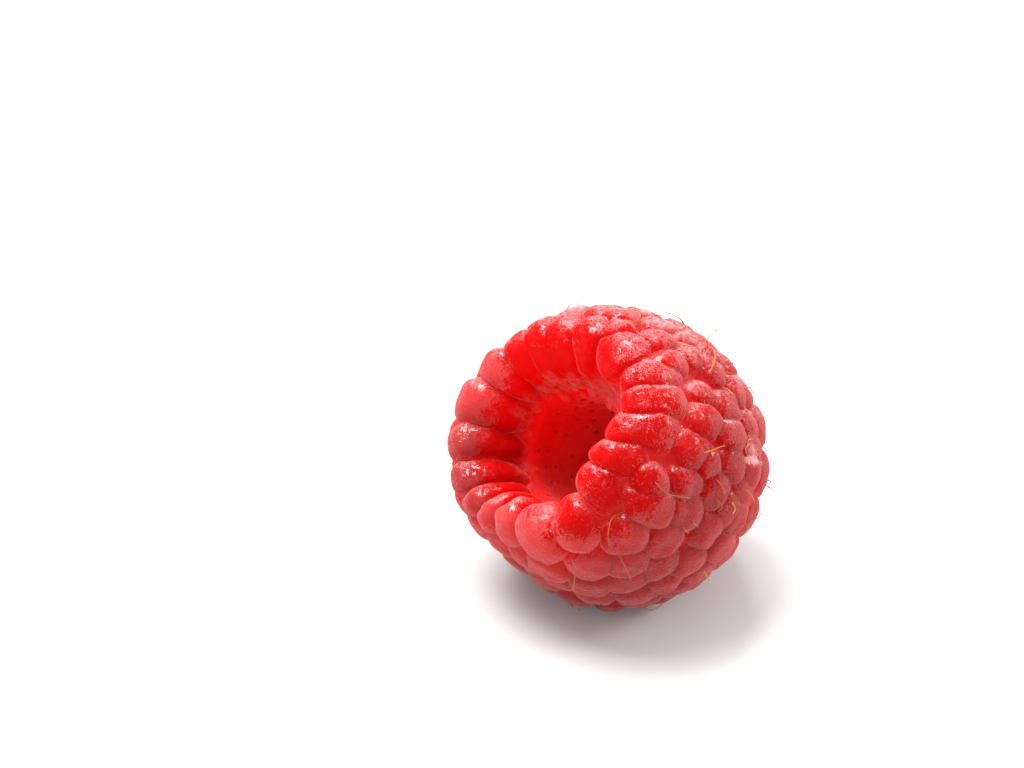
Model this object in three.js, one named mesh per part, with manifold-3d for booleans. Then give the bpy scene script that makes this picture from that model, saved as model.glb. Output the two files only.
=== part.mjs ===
// A picked raspberry, lying on its side with the hollow of its core tipped up.
// Units are millimetres, +Z is up, and the floor is the plane z = 0.
//
// One skin line runs from the bottom of the hollow, over the rim and down to the tip. Everything
// sits on it: a place on the fruit is an angle round its axis and a distance along that line.
import * as THREE from "three";
import { mergeVertices } from "three/addons/utils/BufferGeometryUtils.js";
import Module from "manifold-3d";

const wasm = await Module();
wasm.setup();

// ---- Driving dimensions --------------------------------------------------------------------

const TILT = 35.7; // degrees that the hollow looks up above level
const MIDDLE_DEPTH = 9.1; // how far below the rim the fruit's middle lies, along its axis
const MIDDLE = new THREE.Vector3(-0.115, 0.67, 9.93); // where the middle stands over the floor
const CREASE = 1.15; // depth of the flesh below the tops of the drupelets
const BEAD_HEIGHT = 1.6; // half the height of a drupelet's bead
const DRUPELET = 1.85; // half the width of an ordinary drupelet, before its neighbours press it
const RIM_SHARE = 0.31; // half the length of each of a rim drupelet's two beads, of the whole
const RIM_TAPER = 0.8; // width of its inner bead, of the outer one's
const CREASES_BEGIN = -5; // how far along the skin line the creases begin, inside the hollow
const CREASES_FULL = -2.5; // and where they have their full depth
const SWELLS_BEGIN = 3; // radius beyond which the swells below have their full strength

// The skin line as [depth below the rim, radius], from the bottom of the hollow to the tip.
const SKIN_LINE = [
  [14.6, 0],
  [14.2, 1.4],
  [12.6, 2.8],
  [10.2, 3.55],
  [7.4, 3.85],
  [4.8, 3.8],
  [2.4, 4.8],
  [0.7, 6.3],
  [0.05, 8.1],
  [1.2, 9.75],
  [3.8, 10.75],
  [6.6, 11.1],
  [9.4, 11.15],
  [12.2, 10.5],
  [14.8, 9.2],
  [17.1, 7.2],
  [19.1, 5.0],
  [20.6, 2.6],
  [21.2, 0],
];
const LINE_STEPS = 24; // steps along the skin line in the flesh
const ROUND_STEPS = 24; // steps round the axis in the flesh
const BEAD_SIDES = 6;
const BEAD_RINGS = 4;
const CURVE_SAMPLES = 2000; // how finely the skin line's length and its crest are measured
const SLOPE_STEP = 0.2; // half the stretch of skin line that the skin's slope is taken over
const SAME_POINT = 1e-5; // corners closer than this are one
const FLOOR_BLOCK = 60; // side of the block below the floor that the fruit is pressed flat by

// Where the fruit leaves a true round: angle and distance of the place, how far it reaches in
// degrees and millimetres, and how far the skin moves outward and towards the open end there.
const SWELLS = [
  { angle: 50, along: 1.5, wide: 32, long: 5, outward: -0.5, up: 0 },
  { angle: 182, along: 3, wide: 31, long: 5.2, outward: -1.2, up: 0 },
  { angle: 192, along: -1.5, wide: 34, long: 2.8, outward: -0.7, up: 0.6 },
  { angle: 125, along: -7.8, wide: 65, long: 4.2, outward: 1.1, up: 0 },
  { angle: 268, along: -1.5, wide: 36, long: 2.8, outward: -1.3, up: 1.1 },
  { angle: 292, along: 14, wide: 40, long: 5, outward: 0.5, up: 0 },
  { angle: 112, along: 1.5, wide: 34, long: 6, outward: 0.3, up: 0 },
];

// The drupelets of the rim bend over it into the hollow: angle, half width, inner end, outer end.
const RIM = [
  [343, 1.9, -2.6, 3.2],
  [6, 1.5, -4.2, 2.6],
  [24, 1.45, -4.2, 2.7],
  [40, 1.35, -4.2, 2.7],
  [56, 1.35, -4.2, 2.8],
  [73, 1.35, -4.2, 2.8],
  [95, 1.85, -4.4, 2.6],
  [118, 1.6, -4.4, 2.3],
  [139, 1.4, -4.2, 2.3],
  [155, 1.15, -4.0, 2.5],
  [170, 1.3, -4.2, 2.7],
  [186, 1.4, -4.4, 2.7],
  [209, 2.3, -4.4, 2.8],
  [236, 2.1, -3.0, 2.4],
  [263, 1.9, -4.0, 1.7],
  [283, 1.6, -3.5, 2.2],
  [299, 1.7, -2.8, 4.2],
  [313, 1.35, -1.0, 5.0],
  [326, 1.35, -0.8, 5.1],
];

// The drupelets that don't stand in even rows: angle and distance along the skin line.
const SHOULDER = [
  [204, 4.1],
  [228, 4.1],
  [250.5, 3.7],
  [240, 5.8],
  [267, 3.8],
  [277, 2.9],
  [281, 5.6],
  [294, 5.6],
  [291, 7.5],
  [307, 6.8],
  [319, 6.9],
  [332, 4.6],
  [344, 4.6],
  [337, 7.1],
  [354, 2.2],
  [3, 3.7],
  [356, 6.9],
  [348, 8.2],
  [231.5, 7.6],
  [217, 6.3],
  [226, 10],
  [203, 5.6],
  [211, 8.6],
  [256, 6.6],
  [245.5, 8.3],
  [238, 10.5],
  [270, 7],
  [282, 8.8],
  [266, 9.8],
  [251.5, 10.3],
  [316, 9.4],
  [304.5, 9.6],
  [294, 9.9],
  [332, 9],
  [324.5, 11],
  [277, 10.8],
  [341, 10],
  [312, 12.3],
  [303, 12.6],
  [293, 12.6],
  [283.5, 11.8],
  [274, 12.4],
  [262, 12.6],
  [248, 13],
  [236, 13.2],
  [330, 13.6],
  [343, 12.9],
  [356, 12.4],
  [352, 10.3],
];

// The rows that do: distance along the skin line, first angle, last angle and how many.
const ROWS = [
  { along: 4.3, from: 16, to: 128, count: 8 },
  { along: 4.2, from: 144, to: 191, count: 4 },
  { along: 6.9, from: 10, to: 188, count: 12 },
  { along: 9.8, from: 2, to: 195, count: 13 },
  { along: 12.6, from: 10, to: 222, count: 13 },
  { along: 15.7, from: 0, to: 338, count: 18 },
  { along: 18.4, from: 10, to: 346, count: 15 },
  { along: 20.9, from: 0, to: 328, count: 11 },
  { along: 23.4, from: 14, to: 336, count: 8 },
  { along: 25.7, from: 0, to: 288, count: 5 },
  { along: 27.6, from: 0, to: 0, count: 1 },
];

// ---- The skin ------------------------------------------------------------------------------

const skinLinePoints = SKIN_LINE.map(([depth, radius]) => new THREE.Vector2(radius, -depth));
const skinCurve = new THREE.SplineCurve(skinLinePoints);
skinCurve.arcLengthDivisions = CURVE_SAMPLES;
const skinLength = skinCurve.getLength();

// The distance along the line starts at the rim's crest, and is negative inside the hollow.
function findCrest() {
  let best = 0;
  for (let i = 0; i <= CURVE_SAMPLES; i++) {
    if (skinCurve.getPointAt(i / CURVE_SAMPLES).y > skinCurve.getPointAt(best).y) {
      best = i / CURVE_SAMPLES;
    }
  }
  return best * skinLength;
}

const crest = findCrest();

function bell(x) {
  return Math.exp(-x * x);
}

function shortestTurn(angle, from) {
  return THREE.MathUtils.euclideanModulo(angle - from + 180, 360) - 180;
}

// The point of the skin at an angle and a distance, in the fruit's own frame: +Z out of the
// hollow, angle 0 at +Y and angle 90 at -X.
function skinPoint(angle, along) {
  const point = skinCurve.getPointAt(THREE.MathUtils.clamp((along + crest) / skinLength, 0, 1));
  let radius = point.x;
  let height = point.y;
  const strength = THREE.MathUtils.smoothstep(radius, 0, SWELLS_BEGIN);
  for (const swell of SWELLS) {
    const turn = shortestTurn(angle, swell.angle);
    const share = bell(turn / swell.wide) * bell((along - swell.along) / swell.long) * strength;
    radius += swell.outward * share;
    height += swell.up * share;
  }
  const turned = THREE.MathUtils.degToRad(angle);
  return new THREE.Vector3(-radius * Math.sin(turned), radius * Math.cos(turned), height);
}

// The direction round the fruit at an angle.
function roundAxis(angle) {
  const turned = THREE.MathUtils.degToRad(angle);
  return new THREE.Vector3(-Math.cos(turned), -Math.sin(turned), 0);
}

// The direction straight out of the skin at a place.
function skinOutward(angle, along) {
  const alongLine = skinPoint(angle, along + SLOPE_STEP).sub(skinPoint(angle, along - SLOPE_STEP));
  return new THREE.Vector3().crossVectors(alongLine, roundAxis(angle)).normalize();
}

// ---- Solids --------------------------------------------------------------------------------

function toSolid(geometry) {
  geometry.deleteAttribute("normal");
  geometry.deleteAttribute("uv");
  const closed = mergeVertices(geometry, SAME_POINT);
  return new wasm.Manifold(
    new wasm.Mesh({
      numProp: 3,
      vertProperties: closed.attributes.position.array,
      triVerts: new Uint32Array(closed.index.array),
    }),
  );
}

function toGeometry(solid) {
  const mesh = solid.getMesh();
  const geometry = new THREE.BufferGeometry();
  geometry.setAttribute("position", new THREE.BufferAttribute(mesh.vertProperties, 3));
  geometry.setIndex(new THREE.BufferAttribute(mesh.triVerts, 1));
  geometry.computeVertexNormals();
  return geometry;
}

// The flesh that joins the drupelets: the skin line turned round the axis, sunk to the floor of
// the creases outside the hollow.
function makeFlesh() {
  const points = [];
  for (let i = 0; i <= LINE_STEPS; i++) {
    points.push(skinCurve.getPointAt(i / LINE_STEPS));
  }
  const geometry = new THREE.LatheGeometry(points, ROUND_STEPS);
  const position = geometry.attributes.position;
  for (let i = 0; i < position.count; i++) {
    const row = i % points.length;
    const column = Math.floor(i / points.length) % ROUND_STEPS;
    const angle = (-360 * column) / ROUND_STEPS;
    const along = (row / LINE_STEPS) * skinLength - crest;
    const point = skinPoint(angle, along);
    const sunk = CREASE * THREE.MathUtils.smoothstep(along, CREASES_BEGIN, CREASES_FULL);
    point.addScaledVector(skinOutward(angle, along), -sunk);
    if (row === 0 || row === LINE_STEPS) {
      point.x = 0;
      point.y = 0;
    }
    position.setXYZ(i, point.x, point.y, point.z);
  }
  return toSolid(geometry);
}

// A drupelet: a bead sunk in the flesh with its top at the skin.
function makeDrupelet(angle, along, halfWidth, halfLength) {
  const outward = skinOutward(angle, along);
  const round = roundAxis(angle);
  const alongLine = new THREE.Vector3().crossVectors(round, outward);
  const middle = skinPoint(angle, along).addScaledVector(outward, -BEAD_HEIGHT);
  const placed = new THREE.Matrix4().makeBasis(alongLine, round, outward).setPosition(middle);
  placed.multiply(new THREE.Matrix4().makeScale(halfLength, halfWidth, BEAD_HEIGHT));
  return toSolid(makeBead().applyMatrix4(placed));
}

function makeBead() {
  return new THREE.SphereGeometry(1, BEAD_SIDES, BEAD_RINGS).rotateX(Math.PI / 2);
}

// A rim drupelet bends too far for one bead, so it is two that overlap.
function makeRimDrupelet([angle, halfWidth, inner, outer]) {
  const halfLength = (outer - inner) * RIM_SHARE;
  const outerBead = makeDrupelet(angle, outer - halfLength, halfWidth, halfLength);
  const innerBead = makeDrupelet(angle, inner + halfLength, halfWidth * RIM_TAPER, halfLength);
  return outerBead.add(innerBead);
}

function spread(row) {
  const step = row.count > 1 ? (row.to - row.from) / (row.count - 1) : 0;
  return Array.from({ length: row.count }, (_, i) => [row.from + i * step, row.along]);
}

function makeFruit() {
  let solid = makeFlesh();
  for (const drupelet of RIM) {
    solid = solid.add(makeRimDrupelet(drupelet));
  }
  for (const [angle, along] of [...SHOULDER, ...ROWS.flatMap(spread)]) {
    solid = solid.add(makeDrupelet(angle, along, DRUPELET, DRUPELET));
  }
  return toGeometry(solid);
}

// Tips the fruit onto its side and presses flat the drupelets that it lies on.
function layDown(geometry) {
  geometry.translate(0, 0, MIDDLE_DEPTH);
  geometry.rotateX(THREE.MathUtils.degToRad(90 - TILT));
  geometry.translate(MIDDLE.x, MIDDLE.y, MIDDLE.z);
  const belowFloor = new THREE.BoxGeometry(FLOOR_BLOCK, FLOOR_BLOCK, FLOOR_BLOCK);
  belowFloor.translate(0, 0, -FLOOR_BLOCK / 2);
  return toSolid(geometry).subtract(toSolid(belowFloor));
}

const raspberry = new THREE.Mesh(
  toGeometry(layDown(makeFruit())),
  new THREE.MeshStandardMaterial({ color: 0xc8201f, roughness: 0.45, metalness: 0 }),
);
raspberry.name = "raspberry";

const fruit = new THREE.Group();
fruit.add(raspberry);
export default fruit;
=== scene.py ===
# %% [markdown]
# # A ripe raspberry
# A raspberry isn't one berry but more than a hundred tiny ones, the drupelets, grown together round
# a white core that stays on the plant when the fruit is picked. What comes away is a thimble of
# flesh: hollow inside, beaded outside, covered in fine down, with a dry thread left on many beads.
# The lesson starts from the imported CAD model, which fixes the size and place of everything.

import math

import bpy
import numpy as np
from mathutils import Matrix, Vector


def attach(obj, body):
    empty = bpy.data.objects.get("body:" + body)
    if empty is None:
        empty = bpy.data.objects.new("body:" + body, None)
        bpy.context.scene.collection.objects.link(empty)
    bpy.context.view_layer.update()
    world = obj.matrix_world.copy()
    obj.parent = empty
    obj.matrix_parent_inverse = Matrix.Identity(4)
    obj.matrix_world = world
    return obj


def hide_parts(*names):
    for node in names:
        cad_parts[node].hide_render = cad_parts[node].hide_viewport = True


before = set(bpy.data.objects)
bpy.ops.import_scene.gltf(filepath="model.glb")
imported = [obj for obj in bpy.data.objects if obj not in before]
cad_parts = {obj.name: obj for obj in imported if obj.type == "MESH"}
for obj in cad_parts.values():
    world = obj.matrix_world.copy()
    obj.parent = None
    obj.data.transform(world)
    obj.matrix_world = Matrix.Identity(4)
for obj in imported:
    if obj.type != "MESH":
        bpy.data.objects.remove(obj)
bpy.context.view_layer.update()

# %% [markdown]
# ## Where the fruit lies
# A picked raspberry rolls onto its side, and its axis leans back so that the hollow looks up. All
# the shaping is done in the fruit's own frame, in millimetres, with +Z out of the hollow, because
# a drupelet is easier to place by "angle round the axis" and "distance along the skin" than by
# x, y and z. One function lays the finished points down in the scene.

# %% From the fruit's own frame to the scene
MM = 0.001
TILT = 35.7  # degrees that the hollow looks up above level
MIDDLE_DEPTH = 9.1  # how far below the rim the fruit's middle lies, along its axis
MIDDLE = np.array([-0.115, 0.67, 9.93])  # where the middle stands over the floor


def lay_down(points):
    """Points in the fruit's own frame, in mm, as they lie in the scene, in metres."""
    lean = math.radians(90 - TILT)
    x, y, z = points[..., 0], points[..., 1], points[..., 2] + MIDDLE_DEPTH
    back = y * math.cos(lean) - z * math.sin(lean)
    height = y * math.sin(lean) + z * math.cos(lean)
    return (np.stack([x, back, height], axis=-1) + MIDDLE) * MM


print("The rim's middle lies at", np.round(lay_down(np.zeros(3)) / MM, 1), "mm")

# %% [markdown]
# ## The skin line
# Cut the fruit in half along its axis, and the edge of the cut is one line: from the bottom of the
# hollow up its wall, over the rim, and down the outside to the tip. It could be a lathe profile of
# straight steps, but a smooth curve through a few measured points gives even steps at any
# fineness. Distance along it is counted from the rim: negative in the hollow, positive outside.

# %% The skin line, measured by its length
SKIN_LINE = np.array([  # depth below the rim, radius
    [14.6, 0], [14.2, 1.4], [12.6, 2.8], [10.2, 3.55], [7.4, 3.85], [4.8, 3.8], [2.4, 4.8],
    [0.7, 6.3], [0.05, 8.1], [1.2, 9.75], [3.8, 10.75], [6.6, 11.1], [9.4, 11.15], [12.2, 10.5],
    [14.8, 9.2], [17.1, 7.2], [19.1, 5.0], [20.6, 2.6], [21.2, 0],
])


def smooth_through(points, steps=160):
    """Points close together on a Catmull-Rom curve through a few points."""
    padded = np.vstack([points[:1], points, points[-1:]])
    t = np.linspace(0, 1, steps, endpoint=False)[:, None]
    spans = []
    for before, start, end, after in zip(padded, padded[1:], padded[2:], padded[3:]):
        leave = (end - before) / 2
        arrive = (after - start) / 2
        cubic = 2 * start - 2 * end + leave + arrive
        square = -3 * start + 3 * end - 2 * leave - arrive
        spans.append(cubic * t**3 + square * t**2 + leave * t + start)
    return np.vstack([*spans, points[-1:]])


skin_line = smooth_through(SKIN_LINE)
line_lengths = np.cumsum(np.linalg.norm(np.diff(skin_line, axis=0), axis=1))
line_lengths = np.concatenate([[0], line_lengths])
line_lengths -= line_lengths[np.argmin(skin_line[:, 0])]
HOLLOW_END = line_lengths[0]
TIP_END = line_lengths[-1]
print(f"Skin line: {-HOLLOW_END:.1f} mm in the hollow and {TIP_END:.1f} mm outside")

# %% [markdown]
# ## Not quite round
# A berry that ripened against its leaves is never a true turned shape. Gentle swells press the rim
# in at two places, lift it and roll it inwards at two more, widen the hollow's mouth on one side
# and fill out two flanks. Each is a bell in both directions, so it fades out with no edge.

# %% The skin before there are drupelets on it
SWELLS = [  # angle, distance along, width in degrees, length, how far outward, how far up
    (50, 1.5, 32, 5.0, -0.5, 0.0),
    (182, 3.0, 31, 5.2, -1.2, 0.0),
    (192, -1.5, 34, 2.8, -0.7, 0.6),
    (125, -7.8, 65, 4.2, 1.1, 0.0),
    (268, -1.5, 36, 2.8, -1.3, 1.1),
    (292, 14.0, 40, 5.0, 0.5, 0.0),
    (112, 1.5, 34, 6.0, 0.3, 0.0),
]
SWELLS_BEGIN = 3  # radius beyond which the swells have their full strength
SLOPE_STEP = 0.2  # half the stretch of skin line that the skin's slope is taken over


def smoothstep(low, high, x):
    t = np.clip((x - low) / (high - low), 0, 1)
    return t * t * (3 - 2 * t)


def bell(x):
    return np.exp(-(x**2))


def turn_between(angle, other):
    """The shortest turn from one angle to another, in degrees."""
    return (angle - other + 180) % 360 - 180


def skin(angle, along):
    """Points of the smooth skin: angle 0 at +Y, angle 90 at -X."""
    depth = np.interp(along, line_lengths, skin_line[:, 0])
    radius = np.interp(along, line_lengths, skin_line[:, 1])
    height = -depth
    strength = smoothstep(0, SWELLS_BEGIN, radius)
    for middle_angle, middle_along, wide, long, outward, up in SWELLS:
        turn = turn_between(angle, middle_angle)
        share = bell(turn / wide) * bell((along - middle_along) / long) * strength
        radius = radius + outward * share
        height = height + up * share
    turned = np.radians(angle)
    return np.stack([-radius * np.sin(turned), radius * np.cos(turned), height], axis=-1)


def round_axis(angle):
    """The direction round the fruit."""
    turned = np.radians(angle)
    return np.stack([-np.cos(turned), -np.sin(turned), np.zeros_like(turned)], axis=-1)


def skin_outward(angle, along):
    """The direction straight out of the skin."""
    along_line = skin(angle, along + SLOPE_STEP) - skin(angle, along - SLOPE_STEP)
    out = np.cross(along_line, round_axis(angle))
    return out / np.maximum(np.linalg.norm(out, axis=-1, keepdims=True), 1e-9)


print("Radius at the rim's crest, mm:", np.round(np.linalg.norm(skin(90.0, 0.0)[:2]), 2))

# %% [markdown]
# ## Where the drupelets grow
# The drupelets of the rim are long wedges that bend over it into the hollow, and get narrower as
# the hollow does. Behind them the others pack like oranges in a crate, each in the gap between two
# of the row in front. On the shoulder, where the fruit shows most, each has a place of its own, and
# further back they stand in rows, each nudged a little so that the rows don't look counted.

# %% Places of the drupelets
RIM = [  # angle, half width, inner end, outer end
    (343, 1.9, -2.6, 3.2), (6, 1.5, -5.0, 2.6), (24, 1.45, -5.2, 2.7), (40, 1.35, -5.0, 2.7),
    (56, 1.35, -5.1, 2.8), (73, 1.35, -5.2, 2.8), (95, 1.85, -6.2, 2.6), (118, 1.6, -6.6, 2.3),
    (139, 1.4, -6.6, 2.3), (155, 1.15, -6.2, 2.5), (170, 1.3, -6.0, 2.7), (186, 1.4, -5.6, 2.7),
    (209, 2.3, -4.8, 2.8), (236, 2.1, -3.0, 2.4), (263, 1.9, -4.0, 1.7), (283, 1.6, -3.5, 2.2),
    (299, 1.7, -2.8, 4.2), (313, 1.35, -1.0, 5.0), (326, 1.35, -0.8, 5.1),
]
SHOULDER = [  # angle, along, half width, half length
    (204, 4.1, 1.9, 1.5), (228, 4.1, 1.85, 1.6), (250.5, 3.7, 1.7, 1.65), (240, 5.8, 1.7, 1.5),
    (267, 3.8, 1.5, 2.0), (277, 2.9, 1.2, 1.6), (281, 5.6, 1.3, 1.7), (294, 5.6, 1.4, 1.8),
    (291, 7.5, 1.3, 1.2), (307, 6.8, 1.45, 1.7), (319, 6.9, 1.1, 1.5), (332, 4.6, 1.3, 1.7),
    (344, 4.6, 1.2, 1.5), (337, 7.1, 1.4, 1.4), (354, 2.2, 1.1, 1.5), (3, 3.7, 1.4, 1.6),
    (356, 6.9, 1.4, 1.6), (348, 8.2, 1.3, 1.4), (231.5, 7.6, 1.8, 1.5), (217, 6.3, 1.7, 1.5),
    (226, 10.0, 1.8, 1.6), (203, 5.6, 1.7, 1.5), (211, 8.6, 1.7, 1.5), (256, 6.6, 1.6, 1.5),
    (245.5, 8.3, 1.6, 1.5), (238, 10.5, 1.6, 1.5), (270, 7.0, 1.5, 1.5), (282, 8.8, 1.4, 1.5),
    (266, 9.8, 1.6, 1.4), (251.5, 10.3, 1.6, 1.5), (316, 9.4, 1.5, 1.5), (304.5, 9.6, 1.5, 1.5),
    (294, 9.9, 1.5, 1.5), (332, 9.0, 1.5, 1.5), (324.5, 11.0, 1.5, 1.5), (277, 10.8, 1.5, 1.5),
    (341, 10.0, 1.5, 1.5), (312, 12.3, 1.5, 1.5), (303, 12.6, 1.5, 1.5), (293, 12.6, 1.5, 1.5),
    (283.5, 11.8, 1.5, 1.5), (274, 12.4, 1.5, 1.5), (262, 12.6, 1.5, 1.5), (248, 13.0, 1.6, 1.5),
    (236, 13.2, 1.6, 1.5), (330, 13.6, 1.5, 1.5), (343, 12.9, 1.5, 1.5), (356, 12.4, 1.5, 1.5),
    (352, 10.3, 1.3, 1.4),
]
ROWS = [  # along, first angle, last angle, how many
    (4.3, 16, 128, 8), (4.2, 144, 191, 4), (6.9, 10, 188, 12), (9.8, 2, 195, 13),
    (12.6, 10, 222, 13),
    (15.7, 0, 338, 18), (18.4, 10, 346, 15), (20.9, 0, 328, 11), (23.4, 14, 336, 8),
    (25.7, 0, 288, 5), (27.6, 0, 0, 1),
]
HALF_WIDTH = 1.6  # of a drupelet in the rows
NUDGE = 0.22  # how far one of the rows may stand off its place, mm
random = np.random.default_rng(7)

drupelets = [(angle, (inner + outer) / 2, half_width, (outer - inner) / 2)
             for angle, half_width, inner, outer in RIM]
drupelets += SHOULDER
for along, first, last, count in ROWS:
    radius = np.interp(along, line_lengths, skin_line[:, 1])
    for angle in np.linspace(first, last, count):
        aside, ahead = random.normal(0, NUDGE, 2)
        aside = math.degrees(aside / max(radius, HALF_WIDTH))
        drupelets.append((angle + aside, along + ahead, HALF_WIDTH, HALF_WIDTH))
print(len(drupelets), "drupelets")

# %% [markdown]
# ## Raising the drupelets
# Soft beads that grow pressed together don't stay round. Each swells until it meets its
# neighbours, and the borders become straight, narrow creases, like the walls between soap bubbles.
# So every point of the skin belongs to the drupelet that it is nearest to, and sinks as it nears
# the border with the next. A hundred separate balls would be easier, but they would leave wedges
# of nothing between them and hidden faces inside the fruit.
#
# The skin is one grid, finer outside than deep in the hollow. A little noise in its coordinates
# bends the borders, because no two drupelets press alike.

# %% A grid over the whole skin
COLUMNS = 640
HOLLOW_ROWS = 100
OUTSIDE_ROWS = 340
FINE_FROM = -7.5  # distance along the skin line at which the fine rows begin
WARP = 0.07  # how far the borders of the drupelets wander, mm
WARP_SIZE = 1.1  # how long their bends are, mm
NEAREST_AXIS = 2  # within this radius a warp counts as if it were at it
WAVES = 24
WAVE_SPREAD = (0.6, 1.5)  # how many times as fine as asked for each wave may be
HALF_WAVE = 1.1  # half a wave's length, as a share of the size asked for


def smooth_noise(points, size, seed):
    """Soft random numbers from about -1 to 1 that change over the given size."""
    waves = np.random.default_rng(seed)
    total = np.zeros(points.shape[:-1])
    for _ in range(WAVES):
        direction = waves.normal(size=3)
        direction *= waves.uniform(*WAVE_SPREAD) / np.linalg.norm(direction)
        start = waves.uniform(0, 2 * np.pi)
        total += np.sin(points @ (direction * np.pi / (HALF_WAVE * size)) + start)
    return total / math.sqrt(WAVES / 2)


columns = np.linspace(0, 360, COLUMNS, endpoint=False)
rows = np.concatenate([
    np.linspace(HOLLOW_END, FINE_FROM, HOLLOW_ROWS, endpoint=False),
    np.linspace(FINE_FROM, TIP_END, OUTSIDE_ROWS),
])
angles, alongs = np.meshgrid(columns, rows)
smooth_skin = skin(angles, alongs)
radii = np.linalg.norm(smooth_skin[..., :2], axis=-1)
warped_alongs = alongs + WARP * smooth_noise(smooth_skin, WARP_SIZE, 1)
warp_aside = WARP * smooth_noise(smooth_skin, WARP_SIZE, 2)
warped_angles = angles + np.degrees(warp_aside / np.maximum(radii, NEAREST_AXIS))
average_step = math.tau * float(radii.mean()) / COLUMNS
print("Grid:", angles.shape, "- on average", round(average_step, 2), "mm apart")

# %% The height of every point over its drupelet's border
REACH = 2.6  # how far past its own end a drupelet still competes for the skin
RIM_RADIUS = 9.5  # radius at which the rim drupelets' widths are measured
OVERLAP = 1.24  # how much bigger a drupelet would have grown with no neighbours
DOME_HEIGHT = 1.5
DOME_POWER = 2.5  # 2 is an ellipsoid, and more is a flatter cushion with steeper sides
CREASE_DEEPEST = 0.9
CREASE_CUT = 0.06  # how much deeper the very bottom of a crease is
CREASE_WIDE = 0.2

tallest = np.zeros(angles.shape)
second = np.zeros(angles.shape)
owner = np.zeros(angles.shape, dtype=int)
for number, (angle, along, half_width, half_length) in enumerate(drupelets):
    near = np.abs(rows - along) < half_length + REACH
    turn = turn_between(warped_angles[near], angle)
    lengthways = (warped_alongs[near] - along) / half_length
    if number < len(RIM):
        across = np.radians(turn) * RIM_RADIUS / half_width
        distance = np.sqrt(across**2 + lengthways**4)
    else:
        across = np.radians(turn) * radii[near] / half_width
        distance = np.sqrt(across**2 + lengthways**2)
    dome = (1 - np.clip(distance / OVERLAP, 0, 1) ** DOME_POWER) ** (1 / DOME_POWER)
    before = tallest[near]
    owner[near] = np.where(dome > before, number, owner[near])
    second[near] = np.maximum(second[near], np.minimum(before, dome))
    tallest[near] = np.maximum(before, dome)

to_border = (tallest - second) * DOME_HEIGHT
sunk = np.minimum(DOME_HEIGHT * (1 - tallest), CREASE_DEEPEST)
sunk += CREASE_CUT * bell(to_border / CREASE_WIDE)
print("Deepest crease:", round(float(sunk.max()), 2), "mm")

# %% [markdown]
# ## Where they have grown into one
# On one side of the rim the drupelets have run together into a smooth sheet with only faint
# grooves, on the flank they are flatter than elsewhere, and deep in the hollow they stop. Cutting
# the creases everywhere and then fading them by side and by distance keeps it one rule with no
# seams. Each drupelet also stands a little higher or lower than the next.

# %% Fading the creases
GROWN_SIDE, GROWN_WIDE = 34, 36  # degrees
GROWN_BEGINS, GROWN_FULL = 2.6, -0.6  # distance along
GROWN_SHARE = 0.8
FLANK_SIDE, FLANK_WIDE, FLANK_SHARE = 262, 45, 0.25
FLANK_BEGINS, FLANK_FULL = 2, 5
DEEP_SIDE, DEEP_WIDE = 140, 55  # the side on which the drupelets reach furthest into the hollow
FADE_IN, FADE_OUT, FADE_DEEPER = -4.6, -6.4, 1.3
SIZE_SPREAD = 0.06


def on_side(angle, wide):
    """How far each point of the grid is on one side of the fruit: 1 there, fading out."""
    return bell(turn_between(angles, angle) / wide)


grown_together = on_side(GROWN_SIDE, GROWN_WIDE) * smoothstep(GROWN_BEGINS, GROWN_FULL, alongs)
sunk *= 1 - GROWN_SHARE * grown_together
on_flank = on_side(FLANK_SIDE, FLANK_WIDE) * smoothstep(FLANK_BEGINS, FLANK_FULL, alongs)
sunk *= 1 - FLANK_SHARE * on_flank
sunk += random.normal(0, SIZE_SPREAD, len(drupelets))[owner]
sunk *= smoothstep(FADE_OUT, FADE_IN, alongs + FADE_DEEPER * on_side(DEEP_SIDE, DEEP_WIDE))
print("On average the skin is sunk", round(float(sunk.mean()), 2), "mm")

# %% [markdown]
# ## Inside the hollow
# Each drupelet was joined to the white core by a fine strand, and pulling the berry off leaves a
# small pit for each strand. Near the mouth the flesh tore, and a pale ragged ring of tissue is
# left. The pits could be a texture, but real dents catch the light as they should; the material
# also paints them darker, as painted shade. They stand in rings, every second one turned by half a
# step, and each is a little off its place.

# %% Pits in the wall
PIT_SPACING, PIT_RADIUS, PIT_DEPTH = 1.4, 0.2, 0.13
PITS_FROM, PITS_TO = -15.5, -7.2  # distances along between which there are pits
PIT_RING_STEP = 0.8 * PIT_SPACING
PIT_ASIDE, PIT_AHEAD = 0.3, 0.2  # how far a pit may be off its place, mm
PIT_SHALLOWEST = 0.6  # as a share of the deepest

pits = np.zeros(angles.shape)
pit_rings = np.arange(PITS_FROM, PITS_TO, PIT_RING_STEP)
for ring_number, along in enumerate(pit_rings):
    radius = np.interp(along, line_lengths, skin_line[:, 1])
    count = max(3, round(2 * math.pi * radius / PIT_SPACING))
    for angle in (np.arange(count) + 0.5 * (ring_number % 2)) * 360 / count:
        angle += math.degrees(random.normal(0, PIT_ASIDE) / radius)
        near = np.abs(rows - along) < PIT_SPACING
        across = np.radians(turn_between(angles[near], angle)) * radii[near]
        lengthways = alongs[near] - along - random.normal(0, PIT_AHEAD)
        depth = random.uniform(PIT_SHALLOWEST, 1)
        pits[near] += depth * bell(np.hypot(across, lengthways) / PIT_RADIUS)
print("Pits in", len(pit_rings), "rings")

# %% The throat, where the drupelets end and the pitted wall begins
THROAT = -4.9  # distance along, before it wanders
THROAT_SIDES = [(10, 55, -0.9), (135, 45, -1.5), (200, 35, 1.0)]  # side, width, how far it moves

throat = np.full(angles.shape, THROAT)
for side, wide, shift in THROAT_SIDES:
    throat += shift * on_side(side, wide)
past_throat = alongs - throat
print("Throat from", throat.min().round(1), "to", throat.max().round(1), "mm along")

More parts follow.
